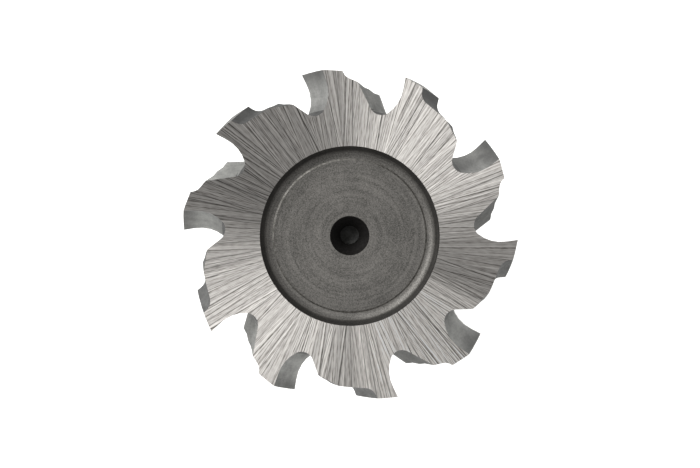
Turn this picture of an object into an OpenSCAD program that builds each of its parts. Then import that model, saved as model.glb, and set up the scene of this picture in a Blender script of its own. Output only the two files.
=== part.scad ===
// Slot milling cutter with a plain shank: a narrow head of staggered teeth on a slim neck.
// All of it is one piece of high-speed steel, and it stands on the end of its shank,
// with the toothed head at the top. Z runs up the tool's axis from the end of the shank.

/* [Overall] */
// Length from the end of the shank to the outer face of the head
overall_len = 71; // [66:1:80]

/* [Head] */
// Diameter over the cutting edges
cutter_d = 28.5; // [27:0.5:32]
// Width of the head at the cutting edges, which is the width of the slot that it cuts
head_w = 8; // [6:0.5:10]
// Angle at which both side faces are ground hollow from the cutting edges towards the hub
side_clearance = 0.5; // [0:0.1:1]

/* [Teeth] */
// Number of teeth, which lean to the left and to the right in turn
teeth = 10; // [8:2:12]
// Angle between a tooth and the axis
helix_angle = 13; // [4:1:14]
// Angle round the axis at which the first tooth stands, at the middle of the head
first_tooth_angle = 31; // [0:1:71]
// Angle of the rake face to the radius, at the cutting edge
rake_angle = 9; // [4:1:14]
// Length of the flat part of the rake face, below the cutting edge
rake_len = 1.1; // [0.8:0.1:1.4]
// Radius of the hollow that leads from the rake face to the root
rake_hollow_r = 3; // [2.5:0.1:3.5]
// Radius of the root of the gullet
root_r = 1; // [0.7:0.1:1.3]
// Depth of the gullet below the cutting edges
gullet_depth = 3.7; // [3.3:0.1:4]
// Angle between the far wall of the gullet and the radius through the cutting edge
gullet_wall_angle = 47.5; // [44:0.5:52]

/* [Tooth backs] */
// Width of the ground land behind the cutting edge
land_w = 1.7; // [1.2:0.1:2.2]
// Clearance angle of the land
land_clearance = 12; // [6:1:14]
// Angle at which the step behind the land leans away from the radius
step_lean = 13; // [5:1:20]
// Corner radius at the foot of the step
step_r = 1; // [0.6:0.1:1.2]
// Height of the step on the teeth that lean to the right, above its corner radius
step_high = 0.45; // [0.2:0.05:0.7]
// Length of the flat behind that step
back_flat = 2.3; // [1.8:0.1:2.8]
// Slope of that flat
flat_slope = 21; // [16:1:26]
// Slope of the bevel that leads from it into the next gullet
bevel_slope = 45; // [38:1:52]
// Height of the step on the teeth that lean to the left, above its corner radius
step_low = 0.1; // [0.05:0.05:0.3]
// Slope of the one long bevel behind that step
long_bevel_slope = 34; // [30:1:40]

/* [Hub recess] */
// Diameter of the recess in the outer face
recess_d = 15.3; // [13:0.1:17]
// Depth of the recess at the groove round its floor
recess_depth = 1.15; // [0.8:0.05:1.5]
// Angle between the wall of the recess and the axis
recess_wall_angle = 25; // [15:1:35]
// Radius of the hollow at the foot of the wall
recess_fillet_r = 0.7; // [0.4:0.05:0.9]
// Width of the flat groove between that hollow and the raised floor
floor_groove_w = 0.1; // [0.05:0.05:0.4]
// Height of the raised floor above the groove
floor_rise = 0.08; // [0.05:0.01:0.15]
// Slope of the edge of the raised floor
floor_edge_slope = 30; // [20:1:45]
// Diameter of the hub relief in the inner face, round the neck
relief_d = 15.2; // [14:0.2:17]
// Depth of the hub relief in the inner face
relief_depth = 0.4; // [0.2:0.05:0.6]

/* [Neck] */
// Diameter of the neck, which has to pass into the slot
neck_d = 11; // [9:0.5:12]
// Radius of the fillet between the neck and the head
neck_fillet_r = 1.5; // [1:0.1:1.8]
// Length of the taper between the shank and the neck
neck_taper_len = 1; // [0.6:0.1:1.6]

/* [Shank] */
// Diameter of the shank
shank_d = 12; // [11:0.5:14]
// Length of the shank
shank_len = 45; // [40:1:48]
// Chamfer at the end of the shank
shank_chamfer = 0.8; // [0.4:0.1:1.2]

/* [Centre holes] */
// Diameter of the mouth of the centre hole in each end
centre_mouth_d = 3.35; // [3:0.05:4]
// Diameter of the pilot hole below it
centre_pilot_d = 1.6; // [1.2:0.1:2]
// Depth of the centre hole to the end of the straight pilot
centre_depth = 3.5; // [3:0.1:4.5]
// Included angle of the countersink
centre_angle = 60; // [60:30:90]
// Included angle of the bottom that the drill leaves
drill_point_angle = 118; // [110:1:140]

/* [Hidden] */
$fn = 96;

steel = [0.69, 0.68, 0.66];

// Turned form
cutter_r = cutter_d / 2;
recess_r = recess_d / 2;
relief_r = relief_d / 2;
neck_r = neck_d / 2;
shank_r = shank_d / 2;
head_base = overall_len - head_w;
head_mid = overall_len - head_w / 2;
hub_hollow = cutter_r * tan(side_clearance);
blank_over = 0.5;
blank_r = cutter_r + blank_over;
rim_rise = blank_over * tan(side_clearance);
recess_foot = overall_len - recess_depth;
recess_floor = recess_foot + floor_rise;
wall_h = recess_depth - recess_fillet_r * (1 - sin(recess_wall_angle));
fillet_start = recess_r - wall_h * tan(recess_wall_angle) - recess_fillet_r * cos(recess_wall_angle);
floor_r = fillet_start - floor_groove_w;
raised_r = floor_r - floor_rise / tan(floor_edge_slope);

// Sweep of the cuts: they run out past both faces of the head and past the blank's rim
run_out = 1;
sweep_len = head_w + 2 * run_out;
sweep_twist = sweep_len * tan(helix_angle) / cutter_r * 180 / PI;
sweep_slices = 3;
cut_reach = 8;
land_reach = 4;
bevel_reach = 4;
arc_step = 12;
pitch = 360 / teeth;

// Points of a cut's outline: a path that goes straight, turns on an arc, and goes on.
// A heading is the direction of travel in degrees, and an outline starts at a cutting edge.
function along(heading) = [cos(heading), sin(heading)];
function left_of(heading) = [-sin(heading), cos(heading)];
function arc_points(centre, r, from, to) =
    let (steps = ceil(abs(to - from) / arc_step))
    [for (i = [0 : steps]) centre + r * along(from + (to - from) * i / steps)];

edge = [cutter_r, 0];

// Gullet: flat rake face, hollow, root and far wall, one tangent to the next
rake_heading = 180 + rake_angle;
rake_foot = edge + rake_len * along(rake_heading);
hollow_centre = rake_foot - rake_hollow_r * left_of(rake_heading);
root_reach = cutter_r - gullet_depth + root_r;
hollow_to_root = rake_hollow_r - root_r;
root_turn = acos((pow(root_reach, 2) - pow(norm(hollow_centre), 2) - pow(hollow_to_root, 2))
    / (2 * norm(hollow_centre) * hollow_to_root));
hollow_end = atan2(hollow_centre.y, hollow_centre.x) + 360 - root_turn;
root_centre = hollow_centre + hollow_to_root * along(hollow_end);
wall_start = gullet_wall_angle + 90;
wall_foot = root_centre + root_r * along(wall_start);
root_angle = atan2(root_centre.y, root_centre.x);

// Back of the tooth: land, step, flat and bevel
land_heading = 270 - land_clearance;
step_heading = 180 + step_lean;
heel = edge + land_w * along(land_heading);

module gullet_outline() polygon(concat(
    [edge - cut_reach * along(rake_heading), edge],
    arc_points(hollow_centre, rake_hollow_r, rake_heading + 90, hollow_end),
    arc_points(root_centre, root_r, hollow_end, wall_start),
    [wall_foot + cut_reach * along(gullet_wall_angle)]
));

module back_outline(left) {
    step_h = left ? step_low : step_high;
    slope_heading = 270 - (left ? long_bevel_slope : flat_slope);
    last_heading = 270 - (left ? long_bevel_slope : bevel_slope);
    step_centre = heel + step_h * along(step_heading) + step_r * left_of(step_heading);
    slope_start = step_centre - step_r * left_of(slope_heading);
    flat_end = slope_start + back_flat * along(slope_heading);
    polygon(concat(
        [edge - land_reach * along(land_heading), edge, heel],
        arc_points(step_centre, step_r, step_heading - 90, slope_heading - 90),
        left ? [] : [flat_end],
        [flat_end + bevel_reach * along(last_heading)],
        [(cutter_r + land_reach) * along(root_angle - pitch)],
        [(cutter_r + land_reach) * along(-pitch / 2)]
    ));
}

// The back of a tooth is cut no further than the middle of the gullet of the tooth behind it
module gullet_side() {
    reach = cutter_r + cut_reach;
    polygon([[0, 0], reach * along(root_angle), reach * along(root_angle + pitch),
        reach * along(root_angle + 2 * pitch)]);
}

// Every other tooth leans to the left, seen with the head up
function leans_left(i) = i % 2 == 0;

// Sweeps an outline along a tooth that leans one way or the other
module along_tooth(i) {
    lean = leans_left(i) ? 1 : -1;
    translate([0, 0, head_mid])
        rotate(first_tooth_angle + i * pitch + lean * sweep_twist / 2)
        linear_extrude(height = sweep_len, center = true, twist = lean * sweep_twist,
            slices = sweep_slices, segments = 1)
        children();
}

module gullet(i) along_tooth(i) gullet_outline();

module tooth_back(i) intersection() {
    along_tooth(i) back_outline(leans_left(i));
    along_tooth(i - 1) gullet_side();
}

module shank_section() polygon([
    [0, 0], [shank_r - shank_chamfer, 0], [shank_r, shank_chamfer], [shank_r, shank_len],
    [neck_r, shank_len + neck_taper_len], [0, shank_len + neck_taper_len]
]);

module neck_section() {
    neck_top = head_base + relief_depth;
    translate([0, shank_len]) square([neck_r, neck_top - shank_len]);
    difference() {
        translate([0, neck_top - neck_fillet_r]) square([neck_r + neck_fillet_r, neck_fillet_r]);
        translate([neck_r + neck_fillet_r, neck_top - neck_fillet_r]) circle(neck_fillet_r);
    }
}

module head_section() difference() {
    polygon([
        [0, head_base + hub_hollow], [blank_r, head_base - rim_rise],
        [blank_r, overall_len + rim_rise], [0, overall_len - hub_hollow]
    ]);
    recess_section();
    translate([0, head_base - relief_depth]) square([relief_r, 2 * relief_depth]);
}

module recess_section() {
    fillet_centre = [fillet_start, recess_foot + recess_fillet_r];
    polygon(concat(
        [[0, recess_floor], [raised_r, recess_floor], [floor_r, recess_foot]],
        arc_points(fillet_centre, recess_fillet_r, -90, -recess_wall_angle),
        [[recess_r, overall_len], [recess_r, overall_len + rim_rise], [0, overall_len + rim_rise]]
    ));
}

module centre_hole_section() {
    cone_depth = (centre_mouth_d - centre_pilot_d) / 2 / tan(centre_angle / 2);
    point_depth = centre_pilot_d / 2 / tan(drill_point_angle / 2);
    polygon([
        [0, run_out], [centre_mouth_d / 2, run_out], [centre_mouth_d / 2, 0],
        [centre_pilot_d / 2, -cone_depth], [centre_pilot_d / 2, -centre_depth],
        [0, -centre_depth - point_depth]
    ]);
}

module turned_blank() rotate_extrude() difference() {
    union() {
        shank_section();
        neck_section();
        head_section();
    }
    translate([0, recess_floor]) centre_hole_section();
    mirror([0, 1]) centre_hole_section();
}

module cutter() color(steel) difference() {
    turned_blank();
    for (i = [0 : teeth - 1]) {
        gullet(i);
        tooth_back(i);
    }
}

cutter();
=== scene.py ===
import math

import bmesh
import bpy
from mathutils import Matrix, Vector


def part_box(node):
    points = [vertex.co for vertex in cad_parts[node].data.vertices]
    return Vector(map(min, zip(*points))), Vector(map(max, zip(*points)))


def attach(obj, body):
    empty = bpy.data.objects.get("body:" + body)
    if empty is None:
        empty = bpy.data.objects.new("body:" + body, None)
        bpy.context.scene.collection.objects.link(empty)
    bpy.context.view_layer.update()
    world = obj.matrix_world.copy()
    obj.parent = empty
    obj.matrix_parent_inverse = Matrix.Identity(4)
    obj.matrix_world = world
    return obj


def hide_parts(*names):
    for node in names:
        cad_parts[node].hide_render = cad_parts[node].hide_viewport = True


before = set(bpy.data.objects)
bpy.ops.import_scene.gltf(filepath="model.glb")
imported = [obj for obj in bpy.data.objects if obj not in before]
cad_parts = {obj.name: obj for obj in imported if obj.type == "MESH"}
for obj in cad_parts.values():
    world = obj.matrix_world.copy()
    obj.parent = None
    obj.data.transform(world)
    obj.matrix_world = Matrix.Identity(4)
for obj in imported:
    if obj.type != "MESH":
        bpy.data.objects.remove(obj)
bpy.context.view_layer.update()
scene = bpy.context.scene


# The camera looks down on the outer face of the head from well above it and a little off the
# tool's axis, with a long lens as for a catalogue picture. The picture is 700 by 468.
MM = 0.001
CAMERA_HEIGHT = 427 * MM
CAMERA_OFF_AXIS = (-2.2 * MM, 11.2 * MM)
AIM_OFF_AXIS = (0.02 * MM, 0.17 * MM)
LENS_MM = 259.5
SENSOR_MM = 36

head_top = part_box("cutter")[1].z
aim = Vector((*AIM_OFF_AXIS, head_top))
camera_spot = Vector((*CAMERA_OFF_AXIS, head_top + CAMERA_HEIGHT))
lens = bpy.data.cameras.new("camera")
lens.lens = LENS_MM
lens.sensor_width = SENSOR_MM
lens.clip_start = 10 * MM
camera = bpy.data.objects.new("camera", lens)
back = (camera_spot - aim).normalized()
right = Vector((0, 1, 0)).cross(back).normalized()
camera.matrix_world = Matrix((right, back.cross(right), back)).transposed().to_4x4()
camera.location = camera_spot
scene.collection.objects.link(camera)
scene.camera = camera


# The floor is a sheet of white matt paper that the cutter stands on. It is lit from below as well,
# as on a light table, so that no shadow shows on it.
FLOOR_REACH = 2500 * MM
PULP_W = 6 * MM


def linear(hex_colour):
    """An sRGB hex colour such as "8a8784" as linear RGBA."""
    parts = [int(hex_colour[i : i + 2], 16) / 255 for i in (0, 2, 4)]
    return [c / 12.92 if c <= 0.04045 else ((c + 0.055) / 1.055) ** 2.4 for c in parts] + [1]


def add(tree, kind, settings=(), links=(), stops=(), **properties):
    """Adds a node with its properties, its sockets' settings and links, and a ramp's stops. A
    socket goes by its name, or by its number where several share one."""
    node = tree.nodes.new(kind)
    for name, value in properties.items():
        setattr(node, name, value)
    for socket, value in dict(settings).items():
        node.inputs[socket].default_value = value
    for socket, source in dict(links).items():
        tree.links.new(source, node.inputs[socket])
    for n, (position, colour) in enumerate(stops):
        stop = node.color_ramp.elements[n] if n < 2 else node.color_ramp.elements.new(position)
        stop.position, stop.color = position, linear(colour)
    return node


def new_material(name, settings):
    """A material with its shader's constants set, the node tree, and the shader itself."""
    material = bpy.data.materials.new(name)
    material.use_nodes = True
    tree = material.node_tree
    shader = tree.nodes["Principled BSDF"]
    for socket, value in settings.items():
        shader.inputs[socket].default_value = value
    return material, tree, shader


# Matt wood-pulp paper: an even white, with clouds of pulp that can only just be seen.
paper, tree, shader = new_material("white_matt_paper", {
    "Emission Color": (1, 1, 1, 1), "Emission Strength": 0.45, "Roughness": 0.95,
    "Specular IOR Level": 0.1,
})
spot = add(tree, "ShaderNodeTexCoord").outputs["Object"]
pulp = add(
    tree, "ShaderNodeTexNoise", {"Scale": 1 / PULP_W, "Detail": 4, "Roughness": 0.6},
    {"Vector": spot},
)
tone = add(
    tree, "ShaderNodeValToRGB", (), {"Fac": pulp.outputs["Fac"]},
    stops=((0.3, "f1f1ef"), (0.7, "f6f6f4")),
)
tree.links.new(tone.outputs["Color"], shader.inputs["Base Color"])

bm = bmesh.new()
bmesh.ops.create_grid(bm, x_segments=1, y_segments=1, size=FLOOR_REACH)
mesh = bpy.data.meshes.new("floor")
bm.to_mesh(mesh)
bm.free()
floor = bpy.data.objects.new("floor", mesh)
floor.data.materials.append(paper)
scene.collection.objects.link(floor)


# Soft studio light: one large box stands at the upper left of the picture, and a dim white room
# fills the rest.
KEY_AZIMUTH, KEY_ELEVATION = math.radians(140), math.radians(42)
KEY_DISTANCE = 600 * MM
KEY_SIZE = 600 * MM
KEY_WATTS = 5.9
ROOM_STRENGTH = 0.52

light = bpy.data.lights.new("key_light", "AREA")
light.shape = "SQUARE"
light.size = KEY_SIZE
light.energy = KEY_WATTS
key = bpy.data.objects.new("key_light", light)
toward_key = Vector((
    math.cos(KEY_AZIMUTH) * math.cos(KEY_ELEVATION),
    math.sin(KEY_AZIMUTH) * math.cos(KEY_ELEVATION),
    math.sin(KEY_ELEVATION),
))
key.location = Vector((0, 0, head_top)) + KEY_DISTANCE * toward_key
key.rotation_euler = toward_key.to_track_quat("Z", "Y").to_euler()
key.visible_camera = False
scene.collection.objects.link(key)

room = bpy.data.worlds.new("room")
room.use_nodes = True
room.node_tree.nodes["Background"].inputs["Color"].default_value = (1, 1, 1, 1)
room.node_tree.nodes["Background"].inputs["Strength"].default_value = ROOM_STRENGTH
scene.world = room
scene.view_settings.view_transform = "Standard"


# The cutter is one piece of high-speed steel: turned, milled, hardened, and then ground on the
# shank, on the side faces of the head and on the lands. What isn't ground keeps the dull grey
# that it had from the furnace. Its form is that of the solid, with its sharp edges just broken.
EDGE_BREAK = 0.02 * MM
MERGE_DIST = 0.0005 * MM
FLAT_ANGLE, SMOOTH_ANGLE, SHARP_ANGLE = math.radians(0.2), math.radians(19), math.radians(50)
HEAD_W = 8 * MM
RECESS_R = 7.65 * MM
FLOOR_R = 6.57 * MM
RELIEF_REACH, RELIEF_ZONE = 7.65 * MM, 1 * MM
LAND_R = 13.5 * MM
STEP_R = 12.2 * MM
HOLE_R = 1.68 * MM
SHANK_LEN = 45 * MM
NEAR = 0.02 * MM

bm = bmesh.new()
bm.from_mesh(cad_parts["cutter"].data)
bmesh.ops.remove_doubles(bm, verts=bm.verts, dist=MERGE_DIST)
bmesh.ops.dissolve_limit(
    bm, angle_limit=FLAT_ANGLE, verts=bm.verts, edges=bm.edges, delimit={"NORMAL"}
)
sharp = [e for e in bm.edges if e.is_manifold and e.calc_face_angle() > SHARP_ANGLE]
bmesh.ops.bevel(
    bm, geom=sharp, offset=EDGE_BREAK, affect="EDGES", segments=1, profile=0.5, material=-1,
    clamp_overlap=True,
)
bmesh.ops.remove_doubles(bm, verts=bm.verts, dist=EDGE_BREAK / 10)
bmesh.ops.recalc_face_normals(bm, faces=bm.faces)

# Each face gets its finish from where it lies and which way it looks: axial is 1 where it looks
# along the axis, and outward is 1 where it looks away from it. The bottom of a centre hole, where
# it looks along the axis, is lighter: it gets the finish of a rake face.
SIDE, LAND, RAKE, WALL, BACK, RECESS, HIGHLIGHT_EDGE, HOLE, NECK, SHANK, END = range(11)
POINT_AXIAL, SIDE_AXIAL, FLOOR_AXIAL = 0.75, 0.9, 0.95
BACK_OUTWARD, LAND_OUTWARD = 0.7, 0.95
for face in bm.faces:
    face.smooth = True
    reach = max(v.co.xy.length for v in face.verts)
    top = max(v.co.z for v in face.verts)
    foot = min(v.co.z for v in face.verts)
    spot, normal = face.calc_center_median(), face.normal
    axial = abs(normal.z)
    outward = normal.xy.dot(spot.xy.normalized())
    if reach < HOLE_R:
        face.material_index = RAKE if axial > POINT_AXIAL else HOLE
    elif top < SHANK_LEN + NEAR:
        face.material_index = SHANK if foot > NEAR else END
    elif top < head_top - HEAD_W + RELIEF_ZONE and reach < RELIEF_REACH:
        face.material_index = NECK
    elif reach < RECESS_R + NEAR:
        # The edge of the raised floor gets the lighter steel of a painted highlight.
        highlight_edge = reach < FLOOR_R + NEAR and axial < FLOOR_AXIAL
        face.material_index = HIGHLIGHT_EDGE if highlight_edge else RECESS
    elif axial > SIDE_AXIAL:
        face.material_index = SIDE
    elif reach > LAND_R and outward > LAND_OUTWARD:
        face.material_index = LAND
    else:
        trailing = spot.xy.cross(normal.xy) < 0
        relieved = outward > BACK_OUTWARD or trailing and spot.xy.length > STEP_R
        face.material_index = BACK if relieved else WALL if trailing else RAKE
for edge in bm.edges:
    edge.smooth = not edge.is_manifold or edge.calc_face_angle() < SMOOTH_ANGLE

mesh = bpy.data.meshes.new("cutter_steel")
bm.to_mesh(mesh)
bm.free()
cutter = bpy.data.objects.new("cutter_steel", mesh)
scene.collection.objects.link(cutter)


# Side faces, ground with the rim of a cup wheel: fine straight lines run out from the hub, in
# bundles that lean a little to one side or the other, and catch the light that stands across
# them. The real lines are 0.02 to 0.05 mm apart, and are drawn 0.12 to 0.17 mm wide to show.
RING_MID_R = 11 * MM
LINE_W = 0.17 * MM
SCRATCH_W = 0.13 * MM
DASH_W = 0.12 * MM
DASH_LEN = 0.7 * MM
DASH_SHARE = 0.2
BAND_W = 0.55 * MM
BUNDLE_W = 2.6 * MM
BUNDLE_LEANS = (5, -4)
BAND_LEAN = 2
SCRATCH_LEAN = 1
LINE_DEPTH = 0.004 * MM


def from_axis(tree):
    """The way from the tool's axis straight out to the spot, and the length of that way."""
    spot = add(tree, "ShaderNodeTexCoord").outputs["Object"]
    flat = add(tree, "ShaderNodeVectorMath", {1: (1, 1, 0)}, {0: spot}, operation="MULTIPLY")
    radius = add(tree, "ShaderNodeVectorMath", (), {0: flat.outputs[0]}, operation="LENGTH")
    return flat.outputs[0], radius.outputs["Value"]


def line_pattern(tree, line_w, lean):
    """A place for noise that gives straight lines: line_w wide, and lean degrees off the radius
    at the middle of the ring."""
    spot = add(tree, "ShaderNodeTexCoord").outputs["Object"]
    parts = add(tree, "ShaderNodeSeparateXYZ", (), {0: spot})
    angle = add(
        tree, "ShaderNodeMath", (), {0: parts.outputs["Y"], 1: parts.outputs["X"]},
        operation="ARCTAN2",
    )
    turn = add(
        tree, "ShaderNodeMath", {0: RING_MID_R * math.sin(math.radians(lean))},
        {1: from_axis(tree)[1]}, operation="DIVIDE",
    )
    turned = add(tree, "ShaderNodeMath", (), {0: angle.outputs[0], 1: turn.outputs[0]})
    across = add(
        tree, "ShaderNodeMath", {1: RING_MID_R / line_w}, {0: turned.outputs[0]},
        operation="MULTIPLY",
    )
    return across.outputs[0]


side, tree, shader = new_material(
    "side_ground_steel", {"Metallic": 1, "Roughness": 0.45, "Anisotropic": 0.9}
)
outward_way, radius = from_axis(tree)
# Two sets of long lines, one for each lean, take turns round the ring.
bundles = [
    add(
        tree, "ShaderNodeTexNoise", {"Scale": 1, "Detail": 2, "Roughness": 0.85},
        {"W": line_pattern(tree, LINE_W, lean)}, noise_dimensions="1D",
    ).outputs["Fac"]
    for lean in BUNDLE_LEANS
]
zones = add(
    tree, "ShaderNodeTexNoise", {"Scale": 1, "Detail": 1, "Roughness": 0.5},
    {"W": line_pattern(tree, BUNDLE_W, 0)}, noise_dimensions="1D",
)
which = add(
    tree, "ShaderNodeMapRange", {"From Min": 0.47, "From Max": 0.53},
    {"Value": zones.outputs["Fac"]},
)
long_lines = add(
    tree, "ShaderNodeMix", (), {0: which.outputs["Result"], 2: bundles[0], 3: bundles[1]},
    data_type="FLOAT",
).outputs[0]
# Short dashes lie among them, where a grain of the wheel cut for a moment only.
reach = add(tree, "ShaderNodeMath", {1: 1 / DASH_LEN}, {0: radius}, operation="MULTIPLY")
place = add(
    tree, "ShaderNodeCombineXYZ", (),
    {"X": line_pattern(tree, DASH_W, 0), "Y": reach.outputs[0]},
)
dashes = add(
    tree, "ShaderNodeTexNoise", {"Scale": 1, "Detail": 1, "Roughness": 0.5},
    {"Vector": place.outputs[0]}, noise_dimensions="2D",
)
lines = add(
    tree, "ShaderNodeMix", {0: DASH_SHARE}, {2: long_lines, 3: dashes.outputs["Fac"]},
    data_type="FLOAT",
).outputs[0]
tone = add(
    tree, "ShaderNodeValToRGB", (), {"Fac": lines},
    stops=((0.33, "575551"), (0.43, "96928e"), (0.52, "b0ada9"), (0.67, "c8c5c1")),
)
# A few deep scratches are darker, and wider bands are a little lighter or darker.
scratches = add(
    tree, "ShaderNodeTexNoise", {"Scale": 1, "Detail": 0},
    {"W": line_pattern(tree, SCRATCH_W, SCRATCH_LEAN)}, noise_dimensions="1D",
)
scratch_tone = add(
    tree, "ShaderNodeMapRange",
    {"From Min": 0.26, "From Max": 0.36, "To Min": 0.5, "To Max": 1},
    {"Value": scratches.outputs["Fac"]},
)
bands = add(
    tree, "ShaderNodeTexNoise", {"Scale": 1, "Detail": 1, "Roughness": 0.6},
    {"W": line_pattern(tree, BAND_W, BAND_LEAN)}, noise_dimensions="1D",
)
band_tone = add(
    tree, "ShaderNodeMapRange",
    {"From Min": 0.3, "From Max": 0.7, "To Min": 0.85, "To Max": 1.15},
    {"Value": bands.outputs["Fac"]},
)
shade = add(
    tree, "ShaderNodeMath", (),
    {0: scratch_tone.outputs["Result"], 1: band_tone.outputs["Result"]}, operation="MULTIPLY",
)
ground = add(
    tree, "ShaderNodeVectorMath", (), {0: tone.outputs["Color"], "Scale": shade.outputs[0]},
    operation="SCALE",
)
# Painted light and shade: the steel is painted brighter on one side of the head, and darker on a
# narrow place across from it. Each place has the azimuth of its middle, the angles either way
# where it is still even and where it has faded out, all in degrees, and how bright it is.
heading = add(tree, "ShaderNodeVectorMath", (), {0: outward_way}, operation="NORMALIZE")
for azimuth, even, faded, gain in ((304, 16.3, 36.9, 2.1), (157, 8.1, 21.6, 0.78)):
    a = math.radians(azimuth)
    toward = add(
        tree, "ShaderNodeVectorMath", {1: (math.cos(a), math.sin(a), 0)},
        {0: heading.outputs[0]}, operation="DOT_PRODUCT",
    )
    painted_light_patch = add(
        tree, "ShaderNodeMapRange",
        {"From Min": math.cos(math.radians(faded)), "From Max": math.cos(math.radians(even)),
         "To Min": 1, "To Max": gain},
        {"Value": toward.outputs["Value"]}, interpolation_type="SMOOTHSTEP",
    )
    ground = add(
        tree, "ShaderNodeVectorMath", (),
        {0: ground.outputs[0], "Scale": painted_light_patch.outputs["Result"]}, operation="SCALE",
    )
tree.links.new(ground.outputs[0], shader.inputs["Base Color"])
tangent = add(tree, "ShaderNodeTangent", direction_type="RADIAL", axis="Z")
tree.links.new(tangent.outputs[0], shader.inputs["Tangent"])
bump = add(tree, "ShaderNodeBump", {"Strength": 0.12, "Distance": LINE_DEPTH}, {"Height": lines})
tree.links.new(bump.outputs[0], shader.inputs["Normal"])


# Flutes, milled and left as they came from the furnace: a satin mid grey with soft clouds, and
# faint streaks along the tooth that are drawn at 0.15 mm, about three times their real width.
# Rake faces carry painted shade, darker at the cutting edge and at the root.
# Backs are relieved by a second cut, and the darkest.
CLOUD_W, CLOUD_LEN = 0.8 * MM, 2.4 * MM
MILL_STREAK_W, MILL_STREAK_LEN = 0.15 * MM, 4 * MM
STREAK_SHARE = 0.4
MILL_DEPTH = 0.005 * MM
GULLET_R = 10.5 * MM
# Painted shade on the rake faces, from the root out to the cutting edge; other faces keep an even
# tone.
RAKE_SHADE = ((0, "c0c0c0"), (0.35, "ffffff"), (0.62, "ffffff"), (0.92, "c2c2c2"))
EVEN_SHADE = ((0, "ffffff"), (1, "ffffff"))
cutter_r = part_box("cutter")[1].x


def tooth_pattern(tree, width, length):
    """A place for noise that is width across the teeth and length along them."""
    spot = add(tree, "ShaderNodeTexCoord").outputs["Object"]
    place = add(
        tree, "ShaderNodeMapping", {"Scale": (1 / width, 1 / width, 1 / length)},
        {"Vector": spot},
    )
    return place.outputs[0]


# Painted light: each kind of face is painted brighter towards one side of the head, darker away
# from it: an azimuth in degrees, and the share by which the tone drifts. The furnace's film
# keeps the steel from shining as clean metal does where it is seen at a flat angle.
milled = []
for name, dark, light, painted_light_side, painted_light_drift, shade in (
    ("milled_rake_steel", "838381", "9f9f9c", 224, 0.3, RAKE_SHADE),
    ("milled_gullet_steel", "6f6f6d", "8a8a87", 170, 0.34, EVEN_SHADE),
    ("relieved_steel", "4a4a49", "646463", 292, 0.56, EVEN_SHADE),
):
    material, tree, shader = new_material(
        name, {"Metallic": 0.6, "Roughness": 0.6, "Specular Tint": (0.35, 0.35, 0.35, 1)}
    )
    clouds = add(
        tree, "ShaderNodeTexNoise", {"Scale": 1, "Detail": 3, "Roughness": 0.55},
        {"Vector": tooth_pattern(tree, CLOUD_W, CLOUD_LEN)},
    )
    streaks = add(
        tree, "ShaderNodeTexNoise", {"Scale": 1, "Detail": 2, "Roughness": 0.6},
        {"Vector": tooth_pattern(tree, MILL_STREAK_W, MILL_STREAK_LEN)},
    )
    mottle = add(
        tree, "ShaderNodeMix", {0: STREAK_SHARE},
        {2: clouds.outputs["Fac"], 3: streaks.outputs["Fac"]}, data_type="FLOAT",
    ).outputs[0]
    tone = add(
        tree, "ShaderNodeValToRGB", (), {"Fac": mottle}, stops=((0.38, dark), (0.64, light))
    )
    reach = add(
        tree, "ShaderNodeMapRange", {"From Min": GULLET_R, "From Max": cutter_r},
        {"Value": from_axis(tree)[1]},
    )
    shading = add(tree, "ShaderNodeValToRGB", (), {"Fac": reach.outputs["Result"]}, stops=shade)
    shaded = add(
        tree, "ShaderNodeVectorMath", (), {0: tone.outputs["Color"], 1: shading.outputs["Color"]},
        operation="MULTIPLY",
    )
    # Painted light: brighter towards the chosen side of the head, darker away from it.
    a = math.radians(painted_light_side)
    toward = add(
        tree, "ShaderNodeVectorMath", {1: (math.cos(a) / cutter_r, math.sin(a) / cutter_r, 0)},
        {0: add(tree, "ShaderNodeTexCoord").outputs["Object"]}, operation="DOT_PRODUCT",
    )
    painted_shading = add(
        tree, "ShaderNodeMapRange",
        {"From Min": -1, "From Max": 1, "To Min": 1 - painted_light_drift, "To Max": 1 + painted_light_drift},
        {"Value": toward.outputs["Value"]},
    )
    painted_shaded = add(
        tree, "ShaderNodeVectorMath", (),
        {0: shaded.outputs[0], "Scale": painted_shading.outputs["Result"]}, operation="SCALE",
    )
    tree.links.new(painted_shaded.outputs[0], shader.inputs["Base Color"])
    bump = add(
        tree, "ShaderNodeBump", {"Strength": 0.3, "Distance": MILL_DEPTH}, {"Height": mottle}
    )
    tree.links.new(bump.outputs[0], shader.inputs["Normal"])
    milled.append(material)
rake, wall, relieved = milled


# Lands behind the cutting edges, ground along the edge with a fine wheel: the brightest faces of
# the tooth, with lines along it that keep it from shining white where it is seen at a flat
# angle. The real lines are 0.02 mm wide, and are drawn at 0.09 mm.
LAND_LINE_W, LAND_LINE_LEN = 0.09 * MM, 5 * MM

land, tree, shader = new_material(
    "land_ground_steel", {"Metallic": 1, "Roughness": 0.38, "Specular Tint": (0.4, 0.4, 0.4, 1)}
)
streaks = add(
    tree, "ShaderNodeTexNoise", {"Scale": 1, "Detail": 2, "Roughness": 0.7},
    {"Vector": tooth_pattern(tree, LAND_LINE_W, LAND_LINE_LEN)},
)
tone = add(
    tree, "ShaderNodeValToRGB", (), {"Fac": streaks.outputs["Fac"]},
    stops=((0.35, "555350"), (0.65, "84827e")),
)
tree.links.new(tone.outputs["Color"], shader.inputs["Base Color"])


# The recess is turned before the steel is hardened, and the furnace leaves a dark film on it: a
# fine speckle over faint rings. Painted shade darkens the steep wall. A tool's feed of 0.1 mm is
# drawn at 0.3 mm.
SPECKLE_W = 0.1 * MM
STAIN_W = 2.2 * MM
RECESS_RING_GAP, RECESS_RING_SWEEP = 0.3 * MM, 1.5
RECESS_RING_SHARE, SOFT_SHARE = 0.55, 0.4
FILM_DEPTH = 0.01 * MM
WALL_AXIAL, FLAT_AXIAL = 0.4, 0.7
WALL_SHADE = 0.33


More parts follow.
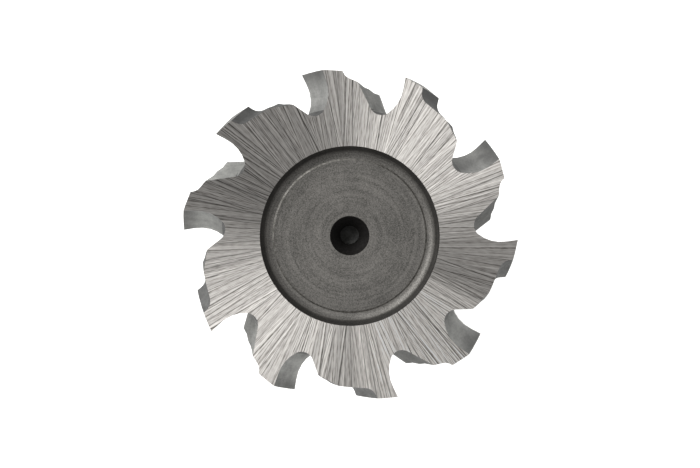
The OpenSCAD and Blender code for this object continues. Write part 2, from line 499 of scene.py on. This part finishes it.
def ring_pattern(tree, spacing, sweep):
    """A place for noise that gives turned rings, on faces and round shafts: spacing apart, and
    each even for about sweep radians."""
    outward_way, radius = from_axis(tree)
    heading = add(tree, "ShaderNodeVectorMath", (), {0: outward_way}, operation="NORMALIZE")
    height = add(
        tree, "ShaderNodeSeparateXYZ", (), {0: add(tree, "ShaderNodeTexCoord").outputs["Object"]}
    )
    reach = add(
        tree, "ShaderNodeMath", (), {0: radius, 1: height.outputs["Z"]}, operation="ADD"
    )
    rings = add(
        tree, "ShaderNodeMath", {1: 1 / spacing}, {0: reach.outputs[0]}, operation="MULTIPLY"
    )
    across = add(tree, "ShaderNodeCombineXYZ", (), {"Z": rings.outputs[0]})
    around = add(
        tree, "ShaderNodeVectorMath", {"Scale": 1 / sweep}, {0: heading.outputs[0]},
        operation="SCALE",
    )
    place = add(
        tree, "ShaderNodeVectorMath", (), {0: around.outputs[0], 1: across.outputs[0]},
        operation="ADD",
    )
    return place.outputs[0]


recess, tree, shader = new_material("hardened_turned_steel", {"Metallic": 0.7, "Roughness": 0.5})
spot = add(tree, "ShaderNodeTexCoord").outputs["Object"]
speckle = add(
    tree, "ShaderNodeTexNoise", {"Scale": 1 / SPECKLE_W, "Detail": 2, "Roughness": 0.8},
    {"Vector": spot},
)
stains = add(
    tree, "ShaderNodeTexNoise", {"Scale": 1 / STAIN_W, "Detail": 3, "Roughness": 0.6},
    {"Vector": spot},
)
rings = add(
    tree, "ShaderNodeTexNoise", {"Scale": 1, "Detail": 2, "Roughness": 0.6},
    {"Vector": ring_pattern(tree, RECESS_RING_GAP, RECESS_RING_SWEEP)},
)
soft = add(
    tree, "ShaderNodeMix", {0: RECESS_RING_SHARE},
    {2: stains.outputs["Fac"], 3: rings.outputs["Fac"]}, data_type="FLOAT",
).outputs[0]
thickness = add(
    tree, "ShaderNodeMix", {0: SOFT_SHARE}, {2: speckle.outputs["Fac"], 3: soft},
    data_type="FLOAT",
).outputs[0]
tone = add(
    tree, "ShaderNodeValToRGB", (), {"Fac": thickness},
    stops=((0.38, "41403d"), (0.66, "7c7975")),
)
# Painted shade: darker where the face turns away from the axis, most on the steep wall.
facing = add(
    tree, "ShaderNodeSeparateXYZ", (), {0: add(tree, "ShaderNodeTexCoord").outputs["Normal"]}
)
painted_shading = add(
    tree, "ShaderNodeMapRange",
    {"From Min": WALL_AXIAL, "From Max": FLAT_AXIAL, "To Min": WALL_SHADE, "To Max": 1},
    {"Value": facing.outputs["Z"]},
)
painted_shaded = add(
    tree, "ShaderNodeVectorMath", (), {0: tone.outputs["Color"], "Scale": painted_shading.outputs["Result"]},
    operation="SCALE",
)
tree.links.new(painted_shaded.outputs[0], shader.inputs["Base Color"])
bump = add(
    tree, "ShaderNodeBump", {"Strength": 0.5, "Distance": FILM_DEPTH}, {"Height": thickness}
)
tree.links.new(bump.outputs[0], shader.inputs["Normal"])


# The edge of the raised floor is painted lighter than the rest of the recess, a painted highlight
# that the key light brightens where the edge faces it; smoother, cleaner steel, with uneven spots.
EDGE_SPOT_W = 0.25 * MM

highlight_edge, tree, shader = new_material("painted_highlight_edge_steel", {"Metallic": 1, "Roughness": 0.42})
spot = add(tree, "ShaderNodeTexCoord").outputs["Object"]
edge_spots = add(
    tree, "ShaderNodeTexNoise", {"Scale": 1 / EDGE_SPOT_W, "Detail": 2, "Roughness": 0.7},
    {"Vector": spot},
)
tone = add(
    tree, "ShaderNodeValToRGB", (), {"Fac": edge_spots.outputs["Fac"]},
    stops=((0.4, "75736e"), (0.6, "9f9c97")),
)
tree.links.new(tone.outputs["Color"], shader.inputs["Base Color"])


# The centre holes are drilled, and keep a crust of scale from the furnace: nearly black, with a
# fine grain.
SCALE_GRAIN_W = 0.15 * MM

hole, tree, shader = new_material("drilled_scaled_steel", {"Metallic": 0.6, "Roughness": 0.5})
spot = add(tree, "ShaderNodeTexCoord").outputs["Object"]
grain = add(
    tree, "ShaderNodeTexNoise", {"Scale": 1 / SCALE_GRAIN_W, "Detail": 2, "Roughness": 0.7},
    {"Vector": spot},
)
tone = add(
    tree, "ShaderNodeValToRGB", (), {"Fac": grain.outputs["Fac"]},
    stops=((0.35, "171615"), (0.7, "2c2a29")),
)
tree.links.new(tone.outputs["Color"], shader.inputs["Base Color"])


# The neck and the relief round it are turned and left as they came from the furnace: an even
# dull grey, with the rings of the turning tool. A tool's feed of 0.1 mm is drawn at 0.25 mm.
NECK_STAIN_W = 3 * MM
NECK_RING_GAP, NECK_RING_SWEEP = 0.25 * MM, 3
NECK_RING_SHARE = 0.6
NECK_RING_DEPTH = 0.008 * MM

neck, tree, shader = new_material("neck_turned_steel", {"Metallic": 0.7, "Roughness": 0.48})
spot = add(tree, "ShaderNodeTexCoord").outputs["Object"]
stains = add(
    tree, "ShaderNodeTexNoise", {"Scale": 1 / NECK_STAIN_W, "Detail": 3, "Roughness": 0.6},
    {"Vector": spot},
)
rings = add(
    tree, "ShaderNodeTexNoise", {"Scale": 1, "Detail": 1, "Roughness": 0.5},
    {"Vector": ring_pattern(tree, NECK_RING_GAP, NECK_RING_SWEEP)},
)
thickness = add(
    tree, "ShaderNodeMix", {0: NECK_RING_SHARE},
    {2: stains.outputs["Fac"], 3: rings.outputs["Fac"]}, data_type="FLOAT",
).outputs[0]
tone = add(
    tree, "ShaderNodeValToRGB", (), {"Fac": thickness},
    stops=((0.36, "54524f"), (0.64, "787570")),
)
tree.links.new(tone.outputs["Color"], shader.inputs["Base Color"])
bump = add(
    tree, "ShaderNodeBump", {"Strength": 0.5, "Distance": NECK_RING_DEPTH},
    {"Height": rings.outputs["Fac"]},
)
tree.links.new(bump.outputs[0], shader.inputs["Normal"])


# The shank is ground round between centres, so very fine lines run round it. They are 0.02 mm
# wide on the real one, and are drawn at 0.09 mm to show.
SHANK_LINE_W, SHANK_LINE_SWEEP = 0.09 * MM, 3
SHANK_LINE_DEPTH = 0.002 * MM

shank, tree, shader = new_material("round_ground_steel", {
    "Metallic": 1, "Roughness": 0.32, "Anisotropic": 0.6, "Anisotropic Rotation": 0.25,
})
lines = add(
    tree, "ShaderNodeTexNoise", {"Scale": 1, "Detail": 3, "Roughness": 0.7},
    {"Vector": ring_pattern(tree, SHANK_LINE_W, SHANK_LINE_SWEEP)},
)
tone = add(
    tree, "ShaderNodeValToRGB", (), {"Fac": lines.outputs["Fac"]},
    stops=((0.33, "84827e"), (0.66, "aba9a4")),
)
tree.links.new(tone.outputs["Color"], shader.inputs["Base Color"])
tangent = add(tree, "ShaderNodeTangent", direction_type="RADIAL", axis="Z")
tree.links.new(tangent.outputs[0], shader.inputs["Tangent"])
bump = add(
    tree, "ShaderNodeBump", {"Strength": 0.3, "Distance": SHANK_LINE_DEPTH},
    {"Height": lines.outputs["Fac"]},
)
tree.links.new(bump.outputs[0], shader.inputs["Normal"])


# The end of the shank and its chamfer are faced on the lathe, with wider rings and a duller grey.
# A tool's feed of 0.08 mm is drawn at 0.14 mm.
END_RING_GAP, END_RING_SWEEP = 0.14 * MM, 3
END_RING_DEPTH = 0.005 * MM

end, tree, shader = new_material("faced_steel", {"Metallic": 1, "Roughness": 0.42})
rings = add(
    tree, "ShaderNodeTexNoise", {"Scale": 1, "Detail": 2, "Roughness": 0.6},
    {"Vector": ring_pattern(tree, END_RING_GAP, END_RING_SWEEP)},
)
tone = add(
    tree, "ShaderNodeValToRGB", (), {"Fac": rings.outputs["Fac"]},
    stops=((0.35, "5e5c58"), (0.65, "888581")),
)
tree.links.new(tone.outputs["Color"], shader.inputs["Base Color"])
bump = add(
    tree, "ShaderNodeBump", {"Strength": 0.4, "Distance": END_RING_DEPTH},
    {"Height": rings.outputs["Fac"]},
)
tree.links.new(bump.outputs[0], shader.inputs["Normal"])

# The finishes go on in the order of their numbers, and the piece then stands in for the solid.
for finish in (side, land, rake, wall, relieved, recess, highlight_edge, hole, neck, shank, end):
    cutter.data.materials.append(finish)
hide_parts("cutter")
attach(cutter, "root")
